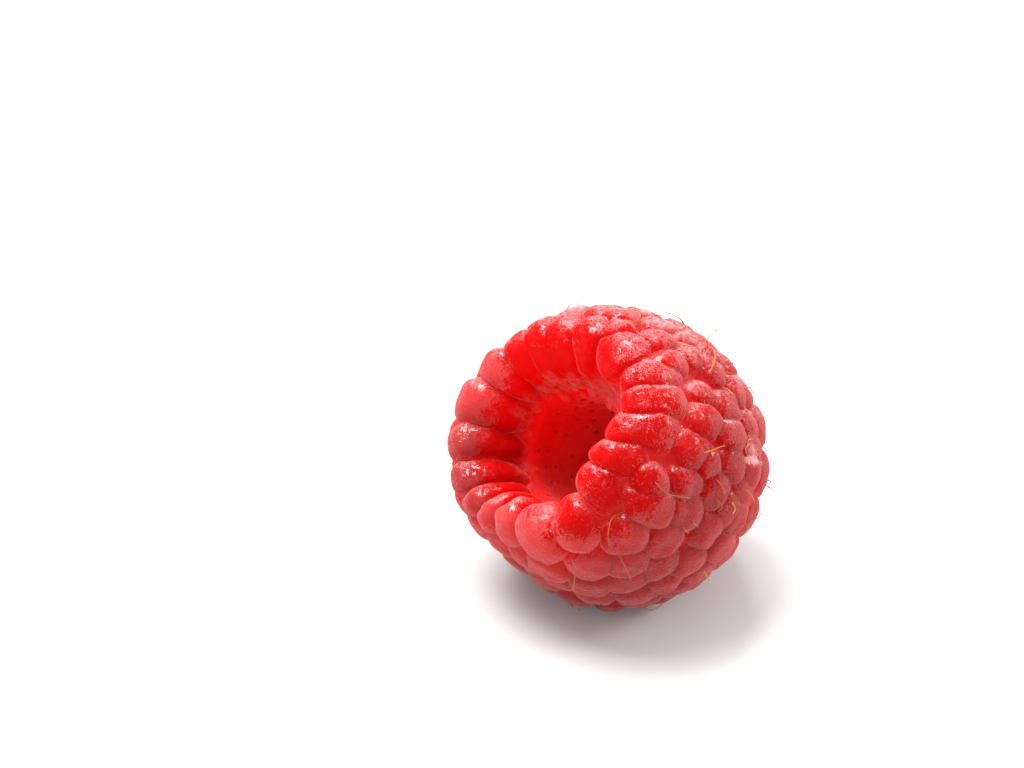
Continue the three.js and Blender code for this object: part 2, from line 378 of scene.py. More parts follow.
# %% A ragged ring of torn tissue round the throat
TISSUE_HEIGHT, TISSUE_ROUGH = 0.1, 0.5
FIBRE_TURN, FIBRE_LENGTH = 0.06, 0.35  # how the tears are stretched lengthways
FIBRE_SIZE, SHRED_SIZE, SHRED_SHARE = 0.45, 0.5, 0.8
INNER_EDGE, INNER_RAGGED = (-0.5, 0.1), 0.35
OUTER_EDGE, OUTER_RAGGED = (1.4, 0.2), 0.4
WIDER_SIDE, WIDER_WIDE, WIDER_BY = 20, 45, 0.8
TISSUE_EVERYWHERE = 0.3
TISSUE_SIDES = [(12, 55, 0.7), (110, 35, 0.3)]  # side, width, how much more there is

fibre_places = np.stack([angles * FIBRE_TURN, alongs * FIBRE_LENGTH, angles * 0], axis=-1)
shreds = SHRED_SHARE * smooth_noise(smooth_skin, SHRED_SIZE, 6)
torn = smooth_noise(fibre_places, FIBRE_SIZE, 5) + shreds
wider = WIDER_BY * on_side(WIDER_SIDE, WIDER_WIDE)
tissue = smoothstep(*INNER_EDGE, past_throat + INNER_RAGGED * torn)
tissue *= smoothstep(*OUTER_EDGE, past_throat + OUTER_RAGGED * torn - wider)
share = np.full(angles.shape, TISSUE_EVERYWHERE)
for side, wide, more in TISSUE_SIDES:
    share += more * on_side(side, wide)
tissue *= share
sunk += pits * PIT_DEPTH - TISSUE_HEIGHT * tissue * (1 + TISSUE_ROUGH * torn)
print("Torn tissue covers", round(100 * float((tissue > 0.5).mean()), 1), "% of the skin")

# %% [markdown]
# ## Where the down and its painted sheen are thick, and where they are rubbed off
# Fine down gives a raspberry its dusty pink bloom, and the same layer stands in for the sheen that
# the hairs show, so it is partly real down and partly painted sheen. It is thickest outside, on the
# tops of the drupelets and on one lower side. It is gone where the fruit was handled and inside the
# rim, and thinner down in the creases, which are left clear red as painted shade. Painting it by
# hand would have to be done again for each change of shape, so it is worked out here for every
# point: above 0 the down is whole, below 0 it is bare.

# %% How thick the down and its painted sheen are
DOWN_AND_SHEEN_BARE = -0.6  # inside the rim
DOWN_AND_SHEEN_ALONG = [(0.95, 0.5, 5), (0.2, 5, 12)]  # how much more, and from where to where along
DOWN_AND_SHEEN_SIDES = [  # how much more, side, width, and from where to where along it sets in
    (1.0, 150, 72, -3.5, 0), (0.35, 205, 30, -2.5, 0.5), (0.5, 95, 24, -4.5, -1.5),
]
RUBBED, RUBBED_SIDE, RUBBED_WIDE = 0.5, 308, 40
RUBBED_ALONG, RUBBED_LONG = 6.5, 4.5
PAINTED_SHEEN_LEAN = 0.3  # painted sheen: how much more on the outer end of a drupelet than in its middle
PAINTED_CREASE_SHADE, SUNK_BEGINS, SUNK_FULL = 0.55, 0.15, 0.9  # painted shade: how much less down and sheen in a crease

lean = np.zeros(angles.shape)  # from -1 at a drupelet's inner end to 1 at its outer end
for number, (angle, along, half_width, half_length) in enumerate(drupelets):
    mine = owner == number
    lean[mine] = (alongs[mine] - along) / half_length
down = DOWN_AND_SHEEN_BARE + PAINTED_SHEEN_LEAN * lean - PAINTED_CREASE_SHADE * smoothstep(SUNK_BEGINS, SUNK_FULL, sunk)
for more, begins, full in DOWN_AND_SHEEN_ALONG:
    down += more * smoothstep(begins, full, alongs)
for more, side, wide, begins, full in DOWN_AND_SHEEN_SIDES:
    down += more * on_side(side, wide) * smoothstep(begins, full, alongs)
down -= RUBBED * on_side(RUBBED_SIDE, RUBBED_WIDE) * bell((alongs - RUBBED_ALONG) / RUBBED_LONG)
print("Down covers", round(100 * float((down > 0).mean())), "% of the skin")

# %% [markdown]
# ## Painted shade, frost with a painted highlight, and unevenness
# One side of the rim is painted duller, and so are the flank below it and the lowest side of the
# hollow: this is painted shade. Frost is partly down that stands up and partly a painted highlight.
# It stays outside but for one low stretch of the mouth, and one pale streak on the flank is painted
# the same way, as the shine of a wet film. The skin isn't even under all this. These stay smooth
# values here, because the material is what gives them ragged edges.

# %% Painted shade, frost with a painted highlight, and unevenness
PAINTED_SHADE = [  # share, side, width, from and to where along it sets in
    (1.0, 136, 38, 3.5, 0.5),  # painted shade on one side of the rim
    (0.8, 200, 45, 2.5, 6),  # painted shade on the flank below it
]
HOLLOW_SHADE_SIDE, HOLLOW_SHADE_WIDE, HOLLOW_SHADE_BEGINS, HOLLOW_SHADE_FULL = 165, 50, -4.0, -7.0  # painted shade on the lowest side of the hollow
FROST_AND_HIGHLIGHT_BEGINS, FROST_AND_HIGHLIGHT_FULL = -4.0, -0.6
FROST_AND_HIGHLIGHT_SIDE, FROST_AND_HIGHLIGHT_WIDE, FROST_AND_HIGHLIGHT_DEEPER = 205, 40, 2.2  # where frost and its painted highlight reach into the hollow
SHINE_STREAK, SHINE_STREAK_SIDE, SHINE_STREAK_WIDE = 1.3, 300, 5  # a pale streak, painted as the shine of a wet film
SHINE_STREAK_ALONG, SHINE_STREAK_LONG = 12, 0.9
UNEVEN_HEIGHT, UNEVEN_SIZE = 0.035, 0.7
UNEVEN_BEGINS, UNEVEN_FULL = -6, -3

painted_shade = np.zeros(angles.shape)
for share, side, wide, begins, full in PAINTED_SHADE:
    painted_shade += share * on_side(side, wide) * smoothstep(begins, full, alongs)
hollow_shade = on_side(HOLLOW_SHADE_SIDE, HOLLOW_SHADE_WIDE) * smoothstep(HOLLOW_SHADE_BEGINS, HOLLOW_SHADE_FULL, alongs)
deeper = FROST_AND_HIGHLIGHT_DEEPER * on_side(FROST_AND_HIGHLIGHT_SIDE, FROST_AND_HIGHLIGHT_WIDE)
frost_and_highlight = -smoothstep(FROST_AND_HIGHLIGHT_FULL, FROST_AND_HIGHLIGHT_BEGINS, alongs + deeper)
frost_and_highlight += SHINE_STREAK * on_side(SHINE_STREAK_SIDE, SHINE_STREAK_WIDE) * bell((alongs - SHINE_STREAK_ALONG) / SHINE_STREAK_LONG)
uneven = UNEVEN_HEIGHT * smooth_noise(smooth_skin, UNEVEN_SIZE, 8)
sunk += uneven * smoothstep(UNEVEN_BEGINS, UNEVEN_FULL, alongs)
print("In shade is", round(100 * float((painted_shade > 0.5).mean())), "% of the skin")

# %% [markdown]
# ## One closed mesh
# The grid closes round the axis and shrinks to a point at the bottom of the hollow and at the tip,
# so the fruit is one skin with no holes and no inner faces, like the real one. What was worked out
# for each point of the grid goes along as a named value, which the material reads later. A grid
# this fine has many flat faces, so it is thinned out at the end, most where it is flattest.

# %% Close the skin and lay it down
def grid_faces(row_count, column_count):
    """Faces of a grid that closes round, between two single points, one at each end."""
    first = 1
    ring = np.arange(column_count)
    after = (ring + 1) % column_count
    starts = first + np.arange(row_count - 3)[:, None] * column_count
    next_starts = starts + column_count
    quads = [starts + ring, starts + after, next_starts + after, next_starts + ring]
    quads = np.stack(quads, axis=-1)
    last = first + (row_count - 3) * column_count
    end = last + column_count
    start_fan = np.stack([np.zeros_like(ring), first + after, first + ring], axis=-1)
    end_fan = np.stack([np.full_like(ring, end), last + ring, last + after], axis=-1)
    return quads.reshape(-1, 4).tolist() + start_fan.tolist() + end_fan.tolist()


def along_grid(values):
    """A value of every grid point in the order of the mesh's points."""
    ends = values[[0, -1]].mean(axis=1)
    return np.concatenate([ends[:1], values[1:-1].reshape(-1, *values.shape[2:]), ends[1:]])


raised = smooth_skin - skin_outward(angles, alongs) * sunk[..., None]
points = lay_down(along_grid(raised))
points[:, 2] = np.maximum(points[:, 2], 0)  # its weight presses the lowest drupelets flat

mesh = bpy.data.meshes.new("fruit")
mesh.from_pydata(points.tolist(), [], grid_faces(len(rows), COLUMNS))
mesh.shade_smooth()
fruit = bpy.data.objects.new("fruit", mesh)
bpy.context.collection.objects.link(fruit)
named_values = {
    "along": alongs, "sunk": sunk, "down": down, "into_hollow": throat - alongs,
    "pits": pits, "tissue": tissue, "painted_shade": painted_shade, "hollow_shade": hollow_shade,
    "frost_and_highlight": frost_and_highlight,
}
for name, values in named_values.items():
    mesh.attributes.new(name, "FLOAT", "POINT").data.foreach_set("value", along_grid(values))
print(len(mesh.vertices), "points,", len(mesh.polygons), "faces")

# %% Thin the mesh out
TRIANGLES = 190000
corners = sum(len(polygon.vertices) - 2 for polygon in mesh.polygons)
thin = fruit.modifiers.new("thin", "DECIMATE")
thin.ratio = TRIANGLES / corners
bpy.context.view_layer.update()
seen = fruit.evaluated_get(bpy.context.evaluated_depsgraph_get())
thinned = bpy.data.meshes.new_from_object(seen)
fruit.modifiers.clear()
fruit.data = thinned
thinned.shade_smooth()
print("Thinned to", len(thinned.polygons), "faces")

# %% [markdown]
# ## Building a material
# Real surfaces are known by how they were made, and each material here starts from that. Helpers
# keep the node code short. One adds a node with its settings and links and gives back one output.
# One turns an sRGB colour into the linear one that Blender works in. One gives coordinates in
# millimetres, so that a pattern's size can be given as the real thing's is. One lays colours over
# each other by shares, as glazes do in paint, because that is how most surfaces get their colour.

# %% Helpers for materials
MIX_SHARE, MIX_FIRST, MIX_SECOND, MIXED = 0, 6, 7, 2  # the colour sockets of a Mix node
SMOOTH = {"interpolation_type": "SMOOTHSTEP"}


def add_node(tree, kind, inputs, out=0, **settings):
    """A new node's output. Each input is given a value or another node's output."""
    made = tree.nodes.new("ShaderNode" + kind)
    for name, value in settings.items():
        setattr(made, name, value)
    for name, value in inputs.items():
        if isinstance(value, bpy.types.NodeSocket):
            tree.links.new(value, made.inputs[name])
        else:
            made.inputs[name].default_value = value
    return made.outputs[out]


def ramp(value, low, high, to_low=0.0, to_high=1.0):
    """The inputs of a MapRange node that goes from one value to another."""
    return {"Value": value, "From Min": low, "From Max": high, "To Min": to_low, "To Max": to_high}


def linear(hex_colour):
    """A colour such as "#c8201f" as linear RGBA."""
    parts = [int(hex_colour[i:i + 2], 16) / 255 for i in (1, 3, 5)]
    return [p / 12.92 if p <= 0.04045 else ((p + 0.055) / 1.055) ** 2.4 for p in parts] + [1]


def glazed(tree, colour, layers):
    """A colour with others laid over it, each by its share."""
    for share, layer in layers:
        inputs = {MIX_SHARE: share, MIX_FIRST: colour, MIX_SECOND: linear(layer)}
        colour = add_node(tree, "Mix", inputs, out=MIXED, data_type="RGBA")
    return colour


def new_material(name):
    """An empty node material, its tree, its shader and the place on it in millimetres."""
    material = bpy.data.materials.new(name)
    material.use_nodes = True
    tree = material.node_tree
    metres = add_node(tree, "TexCoord", {}, out="Object")
    place = add_node(tree, "VectorMath", {0: metres, 1: [1 / MM] * 3}, operation="MULTIPLY")
    return material, tree, tree.nodes["Principled BSDF"], place


print("Raspberry red #c4161c is", [round(c, 3) for c in linear("#c4161c")])

# %% [markdown]
# ## The skin: patterns at their real sizes
# A drupelet has a thin waxy skin over flesh that is nearly all juice. Three things break up its
# colour: single tufts of down, a tenth of a millimetre apart, ragged edges of rubbed patches, and
# slow changes from drupelet to drupelet. Each is a noise of that size, and two more are for the
# wet spots and for lumps in the skin. A painted texture would fit only one berry and one light,
# and noise in space has no seams.

# %% Patterns on the skin
TUFTS, RAGGED, PATCHES, WET_SPOTS, LUMPS = 0.11, 0.3, 2.2, 0.6, 0.7  # sizes in mm
skin_material, tree, shader, place = new_material("ripe_fruit_skin")
noises = {}
for name, size, detail, roughness in [  # how many finer noises, and how strong
    ("tufts", TUFTS, 2, 0.6), ("ragged", RAGGED, 5, 0.7), ("patches", PATCHES, 2, 0.6),
    ("wet_spots", WET_SPOTS, 2, 0.5), ("lumps", LUMPS, 2, 0.6),
]:
    settings = {"Vector": place, "Scale": 1 / size, "Detail": detail, "Roughness": roughness}
    noises[name] = add_node(tree, "TexNoise", settings)
painted = {
    name: add_node(tree, "Attribute", {}, out="Fac", attribute_name=name) for name in named_values
}
facing = add_node(tree, "NewGeometry", {}, out="Normal")
faces_up = add_node(tree, "SeparateXYZ", {0: facing}, out="Z")
print("Noises:", ", ".join(noises))

# %% [markdown]
# ## The skin: down and frost, with painted sheen and a painted highlight
# Down that lies flat looks like dust, and its layer also carries a painted sheen. Frost is paler:
# partly down that stands up, and partly a painted highlight, made stronger where the skin faces up
# to the light. Both have speckled edges, because each tuft is there or not. So the smooth value
# from the mesh and the noises are added up, and the sum is cut off sharply: the noises decide only
# near the border. Mixing two colours softly would look like fog.

# %% Where there is down with painted sheen, and where frost with a painted highlight is
DOWN_AND_SHEEN_NOISES = [("ragged", 1.5), ("patches", 1.6), ("tufts", 0.9)]
DOWN_AND_SHEEN_EDGE, DOWN_AND_SHEEN_SOFT = 2.0, 0.15
FROST_AND_HIGHLIGHT_NOISES = [("ragged", 1.1), ("patches", 1.0), ("tufts", 1.7)]
FROST_AND_HIGHLIGHT_EDGE, FROST_AND_HIGHLIGHT_SOFT = 3.42, 0.36
PAINTED_HIGHLIGHT_ON_TOP = 1.5  # painted highlight: how much more where the skin faces up to the light


def with_noises(value, strengths):
    """A value with some of the noises added to it."""
    for name, strength in strengths:
        inputs = {0: noises[name], 1: strength, 2: value}
        value = add_node(tree, "Math", inputs, operation="MULTIPLY_ADD")
    return value


down_sum = with_noises(painted["down"], DOWN_AND_SHEEN_NOISES)
down_cut = ramp(down_sum, DOWN_AND_SHEEN_EDGE - DOWN_AND_SHEEN_SOFT, DOWN_AND_SHEEN_EDGE + DOWN_AND_SHEEN_SOFT)
down_share = add_node(tree, "MapRange", down_cut, **SMOOTH)
# painted highlight: the frost layer is raised where the skin faces up to the light
inputs = {0: faces_up, 1: PAINTED_HIGHLIGHT_ON_TOP, 2: with_noises(painted["frost_and_highlight"], FROST_AND_HIGHLIGHT_NOISES)}
frost_and_highlight_sum = add_node(tree, "Math", inputs, operation="MULTIPLY_ADD")
frost_and_highlight_cut = ramp(frost_and_highlight_sum, FROST_AND_HIGHLIGHT_EDGE - FROST_AND_HIGHLIGHT_SOFT, FROST_AND_HIGHLIGHT_EDGE + FROST_AND_HIGHLIGHT_SOFT)
frost_and_highlight_share = add_node(tree, "MapRange", frost_and_highlight_cut, **SMOOTH)
print("Down is cut off at", DOWN_AND_SHEEN_EDGE, "and frost at", FROST_AND_HIGHLIGHT_EDGE)

# %% [markdown]
# ## The skin: colours
# Bare skin is a deep, clear red, painted darker towards the tip and on one side as painted shade.
# Down with its painted sheen makes it a chalky rose, and frost with its painted highlight paler
# still. A crease is painted paler, a painted glow for the light that comes out of the thin flesh on
# both sides of it. The wall of the hollow never had a skin, so it is bright flesh that turns paler
# towards the bottom, with painted shade on its lowest side. The pits are painted darker, as painted
# shade. The torn ring is nearly pink. Most shares follow one of the mesh's named values.

# %% Colours, from the flesh up
DOWN_PAINTED_SHADE_LAYERS = [  # value that the layer follows, from, to, its largest share, its colour
    # painted shade: darker towards the tip, and on one side
    ("along", -2, 8, 1, "#a03636"), ("painted_shade", 0, 1, 0.85, "#943232"),
]
SKIN_PAINTED_SHADE_LAYERS = [
    # painted shade: darker towards the tip, and on one side
    ("along", -2.5, 1, 1, "#b60808"), ("along", 2, 12, 1, "#9e0808"),
    ("painted_shade", 0, 1, 0.7, "#980808"),
]
GLOW_HOLLOW_AND_SHADE_LAYERS = [  # painted glow in the creases, then the wall of the hollow and its painted shade
    ("sunk", 0.3, 0.75, 0.6, "#e43a36"), ("into_hollow", -0.5, 0.5, 1, "#f41a1a"),
    # the last layer here is painted shade on the lowest side of the hollow
    ("into_hollow", 1, 8, 1, "#e64646"), ("hollow_shade", 0, 1, 0.4, "#983030"),
]
TORN_FROM, TORN_TO, TORN_LEAST, TORN_MOST = 0.35, 0.6, 0.1, 0.7  # of the noise; of the share


def by_value(layers):
    """The share and colour of each layer that follows a named value of the mesh."""
    return [
        (add_node(tree, "MapRange", ramp(painted[name], low, high, 0, most), **SMOOTH), layer)
        for name, low, high, most, layer in layers
    ]


shreds = ramp(noises["ragged"], TORN_FROM, TORN_TO, TORN_LEAST, TORN_MOST)
shreds = {0: painted["tissue"], 1: add_node(tree, "MapRange", shreds, **SMOOTH)}
torn_share = add_node(tree, "Math", shreds, operation="MULTIPLY")
# down with its painted sheen is a chalky rose
downy = glazed(tree, linear("#d44848"), by_value(DOWN_PAINTED_SHADE_LAYERS))
flesh = glazed(tree, linear("#dc0606"), by_value(SKIN_PAINTED_SHADE_LAYERS))
inputs = {MIX_SHARE: down_share, MIX_FIRST: flesh, MIX_SECOND: downy}
skin_colour = add_node(tree, "Mix", inputs, out=MIXED, data_type="RGBA")
# frost with its painted highlight goes on first
top_layers = [(frost_and_highlight_share, "#dc9a9e"), *by_value(GLOW_HOLLOW_AND_SHADE_LAYERS), (torn_share, "#dd6a64")]
# painted shade: the pits are painted darker
top_layers += by_value([("pits", 0.25, 0.9, 1, "#a01a1a")])
skin_colour = glazed(tree, skin_colour, top_layers)
tree.links.new(skin_colour, shader.inputs["Base Color"])
print(len(SKIN_PAINTED_SHADE_LAYERS) + 1 + len(top_layers), "layers of colour over the flesh")

# %% [markdown]
# ## The skin: relief, gloss and light inside
# Bare skin is tight and smooth, and down makes it rough and grainy. Here and there juice has wetted
# it, and a wet spot glints, because juice fills the grain: that is the coat, with patches for its
# weight and a smoother relief of its own. The flesh lets light in. Red goes a few millimetres
# before it comes out again and the rest almost nowhere, so the thin rim glows and the shadows stay
# red. Paint alone can't do that, so subsurface scattering does. Sheen is the pale edge that fine
# hairs give a surface seen from the side.

# %% Relief
BARE_GRAIN, DOWN_GRAIN = 0.05, 0.16  # height of the grain, mm
LUMP_RELIEF, WET_RELIEF = 0.12, 0.14  # height of the lumps, dry and wet, mm

rough_share = add_node(tree, "Math", {0: down_share, 1: frost_and_highlight_share}, operation="MAXIMUM")
grain = add_node(tree, "MapRange", ramp(rough_share, 0, 1, BARE_GRAIN, DOWN_GRAIN))
grain = add_node(tree, "Math", {0: noises["tufts"], 1: grain}, operation="MULTIPLY")
inputs = {0: noises["lumps"], 1: LUMP_RELIEF, 2: grain}
relief = add_node(tree, "Math", inputs, operation="MULTIPLY_ADD")
inputs = {"Height": relief, "Distance": MM, "Strength": 1}
tree.links.new(add_node(tree, "Bump", inputs), shader.inputs["Normal"])
inputs = {"Height": noises["lumps"], "Distance": WET_RELIEF * MM, "Strength": 1}
tree.links.new(add_node(tree, "Bump", inputs), shader.inputs["Coat Normal"])
print("Grain up to", DOWN_GRAIN, "mm high")

# %% Gloss and scattering
FLESH_IOR = 1.42  # sugary juice lies between water, 1.33, and wax, 1.44
RED_REACH, GREEN_REACH, BLUE_REACH = 5.0, 0.25, 0.2  # how far each colour goes in the flesh, mm
BARE_ROUGH, DOWN_ROUGH = 0.34, 0.6
WET_RAGGED = 0.3  # how ragged the edges of the wet spots are
WET_BEGINS, WET_FULL = 0.65, 0.72
TOP_BEGINS, TOP_FULL = 0.5, 0.85  # juice stays where the skin faces up

wet = with_noises(noises["wet_spots"], [("ragged", WET_RAGGED)])
wet = add_node(tree, "MapRange", ramp(wet, WET_BEGINS, WET_FULL), **SMOOTH)
top = add_node(tree, "MapRange", ramp(faces_up, TOP_BEGINS, TOP_FULL), **SMOOTH)
wet = add_node(tree, "Math", {0: wet, 1: top}, operation="MULTIPLY")
tree.links.new(wet, shader.inputs["Coat Weight"])
roughness = add_node(tree, "MapRange", ramp(rough_share, 0, 1, BARE_ROUGH, DOWN_ROUGH))
tree.links.new(roughness, shader.inputs["Roughness"])
for name, value in {
    "IOR": FLESH_IOR, "Specular IOR Level": 0.06, "Coat Roughness": 0.14,
    "Subsurface Weight": 1, "Subsurface Radius": (RED_REACH, GREEN_REACH, BLUE_REACH),
    "Subsurface Scale": MM,
    "Sheen Weight": 0.45, "Sheen Roughness": 0.2, "Sheen Tint": linear("#ffe4e0"),
}.items():
    shader.inputs[name].default_value = value
fruit.data.materials.append(skin_material)
print(len(tree.nodes), "nodes in the skin")

# %% [markdown]
# ## Down
# The down of a raspberry is real hairs, about a quarter of a millimetre long and far thinner than
# a human hair. Seen against the light they give the fruit its soft edge, which no shader can. A
# particle system would be lost when the model leaves Blender, so each hair is a mesh of its own: a
# spike with three sides, closed at its root, which sits just under the skin. They are drawn about
# as thin as still shows.

# %% Random places on the skin
HAIR_COUNT = 45000
HAIR_LENGTH = 0.26  # mm
HAIR_THICK = 0.0065  # radius at its root, mm
HAIR_ROOT = 0.03  # how deep it is set, mm
HAIRS_BEGIN, HAIRS_FULL = -2.5, 3  # distances along between which they set in
CREASE_BARE, CREASE_HAIRY = 1.1, 0.5  # how deep a crease is where they stop
HAIRS_ABOVE = 0.4  # none grow nearer to the floor than this, mm


def read_values(mesh, name):
    values = np.zeros(len(mesh.vertices))
    mesh.attributes[name].data.foreach_get("value", values)
    return values


fruit_mesh = fruit.data
fruit_mesh.calc_loop_triangles()
corners = np.zeros(3 * len(fruit_mesh.loop_triangles), dtype=int)
fruit_mesh.loop_triangles.foreach_get("vertices", corners)
corners = corners.reshape(-1, 3)
places = np.zeros(3 * len(fruit_mesh.vertices))
fruit_mesh.vertices.foreach_get("co", places)
places = places.reshape(-1, 3) / MM
first, other, third = (places[corners[:, i]] for i in range(3))
normals = np.cross(other - first, third - first)
areas = np.linalg.norm(normals, axis=1, keepdims=True)
face_along = read_values(fruit_mesh, "along")[corners].mean(axis=1)
face_sunk = read_values(fruit_mesh, "sunk")[corners].mean(axis=1)
hairy = smoothstep(HAIRS_BEGIN, HAIRS_FULL, face_along)
hairy *= smoothstep(CREASE_BARE, CREASE_HAIRY, face_sunk)
hairy *= first[:, 2] > HAIRS_ABOVE
weights = areas[:, 0] * hairy
picks = np.random.default_rng(11)
chosen = picks.choice(len(corners), HAIR_COUNT, p=weights / weights.sum())
u, v = picks.random((2, HAIR_COUNT, 1))
u, v = np.where(u + v > 1, 1 - u, u), np.where(u + v > 1, 1 - v, v)
roots = first[chosen] + (other - first)[chosen] * u + (third - first)[chosen] * v
out = normals[chosen] / areas[chosen]
print(f"{HAIR_COUNT / areas.sum() * 2:.0f} hairs to a square millimetre")

# %% One mesh of all the hairs
HAIR_LEAN = 0.55  # how far the hairs lean from straight out
HAIR_SHORTEST, HAIR_LONGEST = 0.4, 1.25  # as shares of their usual length
FLOOR_GAP = 0.00002  # metres between the floor and anything that would touch it


def unit(vectors):
    return vectors / np.linalg.norm(vectors, axis=-1, keepdims=True)


growth = unit(out + HAIR_LEAN * picks.normal(size=out.shape))
side = unit(np.cross(growth, picks.normal(size=out.shape)))
other_side = np.cross(growth, side)
lengths = HAIR_LENGTH * picks.uniform(HAIR_SHORTEST, HAIR_LONGEST, (HAIR_COUNT, 1))
hair_corners = [
    roots - out * HAIR_ROOT + HAIR_THICK * (side * math.cos(turn) + other_side * math.sin(turn))
    for turn in np.arange(3) * math.tau / 3
]
tips = roots + growth * lengths
hair_points = np.stack([*hair_corners, tips], axis=1).reshape(-1, 3) * MM
hair_points[:, 2] = np.maximum(hair_points[:, 2], FLOOR_GAP)
spike = [[0, 2, 1], [0, 1, 3], [1, 2, 3], [2, 0, 3]]
hair_faces = np.arange(HAIR_COUNT)[:, None, None] * 4 + spike


def new_piece(name, points, faces, values):
    """A mesh object with a named value at each of its points."""
    mesh = bpy.data.meshes.new(name)
    mesh.from_pydata(points.tolist(), [], faces)
    for value_name, numbers in values.items():
        mesh.attributes.new(value_name, "FLOAT", "POINT").data.foreach_set("value", numbers)
    piece = bpy.data.objects.new(name, mesh)
    bpy.context.collection.objects.link(piece)
    return piece


to_tip = np.tile([0.0, 0.0, 0.0, 1.0], HAIR_COUNT)
hairs = new_piece("down", hair_points, hair_faces.reshape(-1, 3).tolist(), {"to_tip": to_tip})
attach(hairs, "root")
print(len(hairs.data.polygons), "faces in the down")

# %% [markdown]
# ## What down looks like
# A plant hair is a dry tube of cellulose, clear but scattering, so it looks white where it is
# lit and takes the red of the skin at its root. That red is painted on as a painted glow: the hair
# runs from rose at the root to pale pink at the tip, with slow patches of paler and duller hairs.

# %% Dry plant hair
HAIR_IOR, HAIR_ROUGH = 1.53, 0.5  # cellulose
DULL_BEGINS, DULL_FULL, DULL_SHARE = 0.4, 0.7, 0.6  # of the noise, and how dull at most
hair_material, tree, shader, place = new_material("dry_plant_hair")
to_tip = add_node(tree, "Attribute", {}, out="Fac", attribute_name="to_tip")
dull = add_node(tree, "TexNoise", {"Vector": place, "Scale": 1 / RAGGED, "Detail": 2})
dull = add_node(tree, "MapRange", ramp(dull, DULL_BEGINS, DULL_FULL, 0, DULL_SHARE), **SMOOTH)
# painted glow: the rose at the root stands for the red skin's light
colour = glazed(tree, linear("#dc8480"), [(to_tip, "#efb4b0"), (dull, "#d07c78")])
tree.links.new(colour, shader.inputs["Base Color"])
shader.inputs["Roughness"].default_value = HAIR_ROUGH
shader.inputs["IOR"].default_value = HAIR_IOR
hairs.data.materials.append(hair_material)
print(len(tree.nodes), "nodes in the hair")

# %% [markdown]
# ## Dry styles
# Each drupelet was one flower part, and the thread that caught its pollen, the style, dries and
# often stays: golden brown, bent, 1 to 3 mm long, with a small knob at its end. Many fall off. It
# could be a curve with a bevel, but a thread this bent has to follow the drupelets under it, so it
# is a tube along a path that is worked out on the skin: it comes out of the skin at one end, lies
# close over the drupelets and lifts at the other end.

# %% Paths of the styles
STYLES = [  # places on the skin that a style runs over: angle, along; and how far its end lifts
    ([(31, 3.2), (26, 3.4)], 0.25), ([(3, 4.2), (358, 5.6)], 0.2), ([(354, 2.2), (350, 3.1)], 0.1),
    ([(358, 5.6), (356, 6.9)], 0.2), ([(342, 4.8), (339, 6.0), (337, 7.1)], 0.15),
    ([(358, 9.0), (350, 8.2)], 0.4), ([(345, 9.4), (346, 9.9)], 1.2),
    ([(342, 10.0), (334, 8.8), (327, 7.6)], 0.1), ([(338, 10.9), (339, 11.5), (337, 11.6)], 0.7),
    ([(331, 10.0), (330, 10.9)], 0.2), ([(324, 9.3), (319, 9.3)], 0.15),
    ([(318, 11.5), (315, 11.0)], 0.15),
    ([(308, 10.0), (303, 11.0), (300, 10.6), (297, 10.9), (295, 10.0)], 0.2),
    ([(305, 14.0), (302, 13.0)], 0.3), ([(291, 15.4), (290, 16.0)], 0.5),
    ([(277.5, 3.0), (275, 4.2), (276.5, 5.9)], 0.3), ([(294, 6.3), (299, 8.4)], 0.1),
    ([(279, 8.8), (277, 9.4), (275, 9.2)], 0.2), ([(286, 8.2), (282, 8.9)], 0.15),
    ([(280, 10.3), (280.5, 11.3)], 0.3), ([(280, 10.3), (278, 10.6), (276, 10.4)], 0.2),
    ([(286, 11.6), (282, 13.0)], 0.2), ([(274.5, 12.9), (271, 13.5)], 0.2),
    ([(265, 7.0), (264, 7.5)], 0.2), ([(268, 7.6), (267.5, 7.9)], 0.2),
    ([(258, 2.2), (254, 1.9), (248, 2.3), (245, 2.9)], 0.05),
    ([(243, 4.0), (241, 5.0), (237.5, 6.3)], 0.15), ([(219, 4.2), (214, 5.4)], 0.1),
    ([(318, 14.0), (317, 14.5)], 0.5), ([(250, 12.5), (248, 13.2)], 0.3),
]
LEFT_SHARE = 0.5  # of the drupelets in the rows still have theirs
LEFT_FROM, LEFT_TO = 9, 26  # distances along between which they do
SHORTEST, LONGEST = 0.8, 2.0  # mm
BEND = 0.7  # how much a style usually turns halfway, in radians
HIGHEST_LIFT = 0.25  # mm
TIP_CLEAR = 1  # how far they keep from the very tip, mm

all_styles = list(STYLES)
for angle, along, _, _ in drupelets[len(RIM) + len(SHOULDER):]:
    if random.random() < LEFT_SHARE and LEFT_FROM < along < LEFT_TO:
        reach = random.uniform(SHORTEST, LONGEST)
        heading = random.uniform(0, math.tau)
        radius = np.interp(along, line_lengths, skin_line[:, 1])
        path = [(angle, along)]
        for way in (heading, heading + random.normal(0, BEND)):
            angle += math.degrees(math.sin(way) * reach / 2 / radius)
            along += math.cos(way) * reach / 2
            path.append((angle, min(along, TIP_END - TIP_CLEAR)))
        all_styles.append((path, random.uniform(0.0, HIGHEST_LIFT)))
print(len(all_styles), "styles")

# %% A path over the drupelets
STEPS = 18
CURVE_STEPS = 24  # between two of the places that it runs over
SET_IN, LIES_OVER = 0.15, 0.25  # how deep its root sits and how far over the skin it runs, mm
OUT_WITHIN = 2.2  # it comes out of the skin within its length divided by this
EVEN_WIDE, EVEN_FINE = 7, 3  # steps that its height is evened out over
JUST_OVER, ROOT_UNDER = 0.05, 0.2  # mm


def smoothed(heights, width):
    padded = np.pad(heights, width // 2, mode="edge")
    return np.convolve(padded, np.ones(width) / width, mode="valid")


